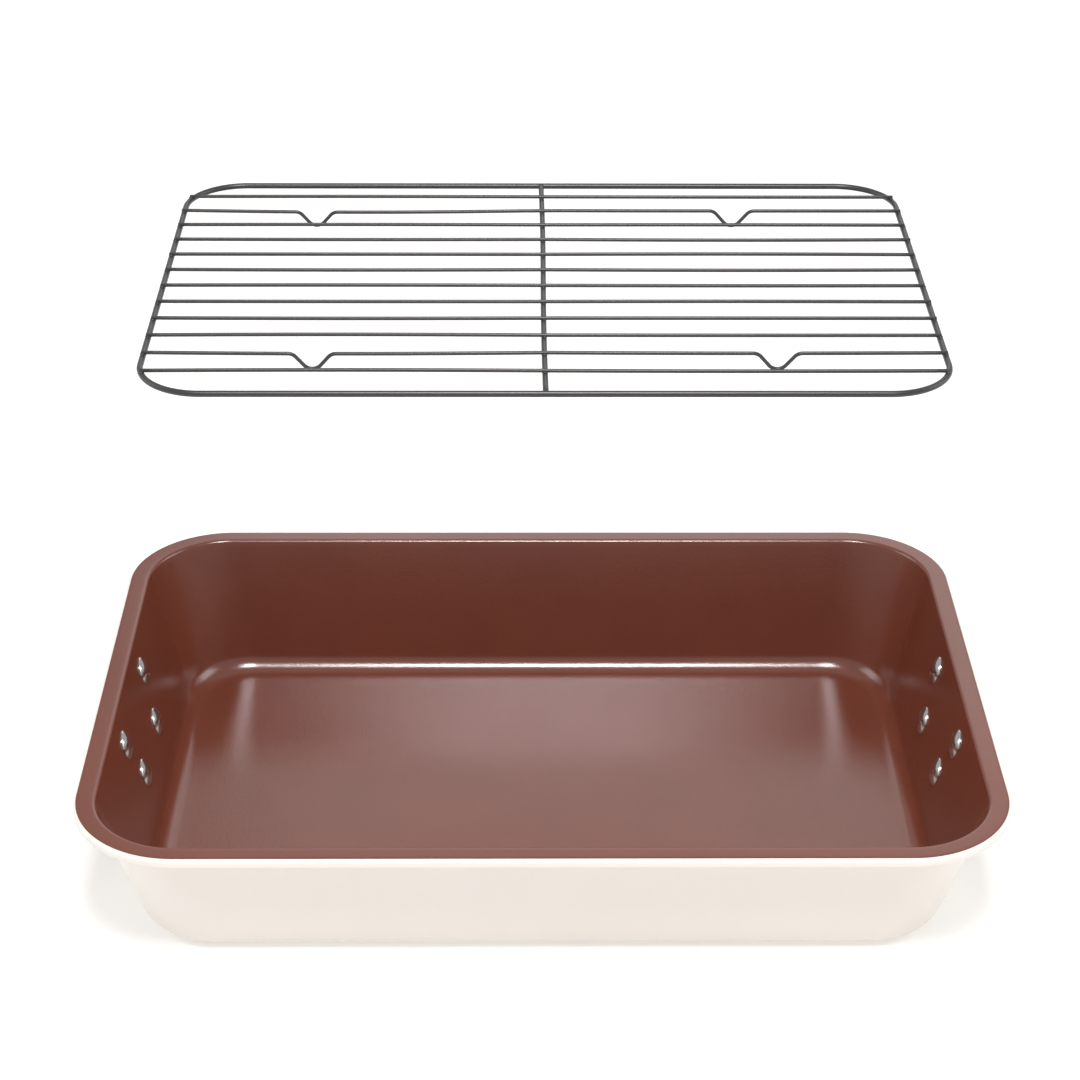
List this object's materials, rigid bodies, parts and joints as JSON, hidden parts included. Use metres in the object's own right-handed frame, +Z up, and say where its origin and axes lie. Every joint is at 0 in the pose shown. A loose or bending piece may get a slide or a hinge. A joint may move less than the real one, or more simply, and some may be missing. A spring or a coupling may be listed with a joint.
{
  "type": "roasting pan with rack",
  "caption": "Rectangular coated-steel roasting pan with a flat rim, drop handles on its ends and a lift-out wire rack on bent feet.",
  "frame": {"origin": "centre of the pan's flat underside", "axes": "+X along the pan to its right end, +Y across it to the far side, +Z up"},
  "size_m": [0.4126, 0.2866, 0.2743],
  "materials": {
    "brown_ceramic_coating": "satin fine-grained red-brown ceramic coating inside and on the flange",
    "cream_coating": "smooth warm cream coating outside and on the turned-down lip",
    "pressed_stainless": "pressed stainless sheet, fine brushed",
    "stainless_rod": "drawn and polished stainless rod",
    "polished_rivet": "polished domed stainless rivet",
    "dark_nonstick_wire": "semi-gloss dark grey non-stick coating on steel wire"
  },
  "bodies": {
    "pan": {"pan_body": "brown_ceramic_coating", "left_handle_plate": "pressed_stainless", "right_handle_plate": "pressed_stainless", "left_rivets": "polished_rivet", "right_rivets": "polished_rivet"},
    "left_bail": {"left_bail": "stainless_rod"},
    "right_bail": {"right_bail": "stainless_rod"},
    "rack": {"rack_frame": "dark_nonstick_wire", "rack_cross_wire": "dark_nonstick_wire", "rack_foot_wire_far": "dark_nonstick_wire", "rack_foot_wire_near": "dark_nonstick_wire", "rack_wire_01": "dark_nonstick_wire", "rack_wire_03": "dark_nonstick_wire", "rack_wire_04": "dark_nonstick_wire", "rack_wire_05": "dark_nonstick_wire", "rack_wire_06": "dark_nonstick_wire", "rack_wire_07": "dark_nonstick_wire", "rack_wire_08": "dark_nonstick_wire", "rack_wire_09": "dark_nonstick_wire", "rack_wire_10": "dark_nonstick_wire", "rack_wire_12": "dark_nonstick_wire"}
  },
  "joints": [
    {"name": "rack_lift", "type": "slide", "parent": "pan", "child": "rack", "axis": [0, 0, 1], "range_m": [-0.264, 0]},
    {"name": "left_bail_swing", "type": "hinge", "parent": "pan", "child": "left_bail", "pos_m": [-0.1936, 0, 0.04014], "axis": [0, 1, 0], "range_deg": [-15, 145]},
    {"name": "right_bail_swing", "type": "hinge", "parent": "pan", "child": "right_bail", "pos_m": [0.1936, 0, 0.04014], "axis": [0, -1, 0], "range_deg": [-15, 145]}
  ]
}
